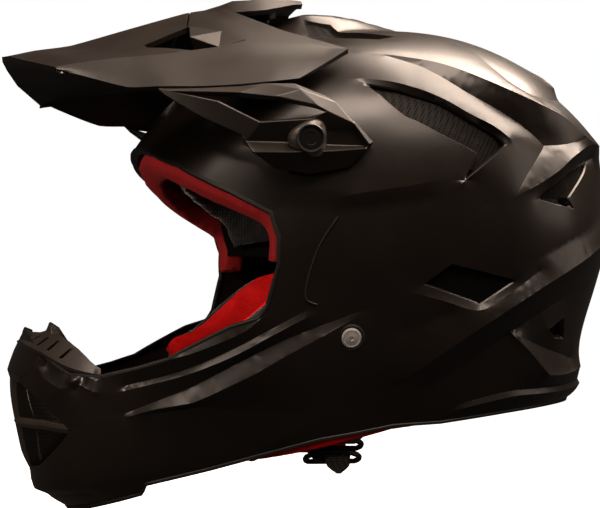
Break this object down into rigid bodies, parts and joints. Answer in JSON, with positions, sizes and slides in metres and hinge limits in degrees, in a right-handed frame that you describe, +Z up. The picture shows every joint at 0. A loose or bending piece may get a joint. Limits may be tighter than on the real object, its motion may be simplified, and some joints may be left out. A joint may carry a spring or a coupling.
{
  "type": "full-face off-road helmet",
  "caption": "Full-face off-road helmet with a tilting peak, foam and fabric lining, removable cheek pads, vented chin bar and a buckled chin strap.",
  "frame": {"origin": "centre of the head cavity, held at the head mount", "axes": "+Z up as worn, +X to the wearer's left, -Y to the front (the chin bar and peak point to -Y)"},
  "size_m": [0.257, 0.3461, 0.2914],
  "materials": {
    "shell_black": "satin black lacquer",
    "trim_rubber": "matte",
    "foam_grey": "beaded foam",
    "red_fabric": "brushed knit",
    "black_fabric": "brushed knit",
    "mesh_black": "matte mesh",
    "black_plastic": "matte",
    "screw_black": "satin",
    "steel": "plated",
    "webbing_black": "woven"
  },
  "bodies": {
    "helmet": {"base_trim": "trim_rubber", "brow_pad": "red_fabric", "chin_strap_left": "webbing_black", "chin_strap_right": "webbing_black", "crown_comfort_liner": "black_fabric", "d_ring_inner": "steel", "d_ring_outer": "steel", "diamond_vent_insert_left": "black_plastic", "diamond_vent_insert_right": "black_plastic", "eps_chin_liner": "foam_grey", "eps_crown_liner": "foam_grey", "eyeport_trim": "trim_rubber", "low_vent_insert_left": "black_plastic", "low_vent_insert_right": "black_plastic", "mouth_vent_frame": "black_plastic", "mouth_vent_mesh": "mesh_black", "neck_roll": "black_fabric", "nose_guard": "trim_rubber", "outer_shell": "shell_black", "peak_pivot_washer_left": "black_plastic", "peak_pivot_washer_right": "black_plastic", "peak_t_nut_left": "steel", "peak_t_nut_right": "steel", "peak_top_boss": "black_plastic", "peak_top_t_nut": "steel", "rear_vent_mesh_left": "mesh_black", "rear_vent_mesh_right": "mesh_black", "side_vent_mesh_left": "mesh_black", "side_vent_mesh_right": "mesh_black", "strap_rivet_left": "steel", "strap_rivet_right": "steel", "strap_rivet_ring_left": "black_plastic", "strap_rivet_ring_right": "black_plastic", "strap_throat_pad": "black_fabric", "top_vent_mesh_left": "mesh_black", "top_vent_mesh_right": "mesh_black"},
    "peak": {"peak": "shell_black"},
    "peak_screw_left": {"peak_screw_left": "screw_black"},
    "peak_screw_right": {"peak_screw_right": "screw_black"},
    "peak_top_screw": {"peak_top_screw": "screw_black"},
    "cheek_pad_left": {"cheek_pad_core_left": "foam_grey", "cheek_pad_cushion_left": "red_fabric", "cheek_pad_hem_left": "red_fabric"},
    "cheek_pad_right": {"cheek_pad_core_right": "foam_grey", "cheek_pad_cushion_right": "red_fabric", "cheek_pad_hem_right": "red_fabric"},
    "strap_tail": {"strap_tail": "webbing_black"}
  },
  "joints": [
    {"name": "peak_tilt", "type": "hinge", "parent": "helmet", "child": "peak", "pos_m": [0, -0.0535, 0.047], "axis": [1, 0, 0], "range_deg": [-5, 5]},
    {"name": "peak_screw_left_spin", "type": "hinge", "parent": "helmet", "child": "peak_screw_left", "pos_m": [0.12, -0.0535, 0.047], "axis": [1, 0, 0], "continuous": true},
    {"name": "peak_screw_right_spin", "type": "hinge", "parent": "helmet", "child": "peak_screw_right", "pos_m": [-0.12, -0.0535, 0.047], "axis": [1, 0, 0], "continuous": true},
    {"name": "peak_top_screw_spin", "type": "hinge", "parent": "helmet", "child": "peak_top_screw", "pos_m": [0, -0.058, 0.13], "axis": [0, 0, 1], "continuous": true},
    {"name": "cheek_pad_left_pull", "type": "slide", "parent": "helmet", "child": "cheek_pad_left", "axis": [-1, 0, 0], "range_m": [0, 0.012]},
    {"name": "cheek_pad_right_pull", "type": "slide", "parent": "helmet", "child": "cheek_pad_right", "axis": [1, 0, 0], "range_m": [0, 0.012]},
    {"name": "strap_tail_swing", "type": "hinge", "parent": "helmet", "child": "strap_tail", "pos_m": [0.067, -0.029, -0.1215], "axis": [0, 1, 0], "range_deg": [-10, 25]}
  ]
}
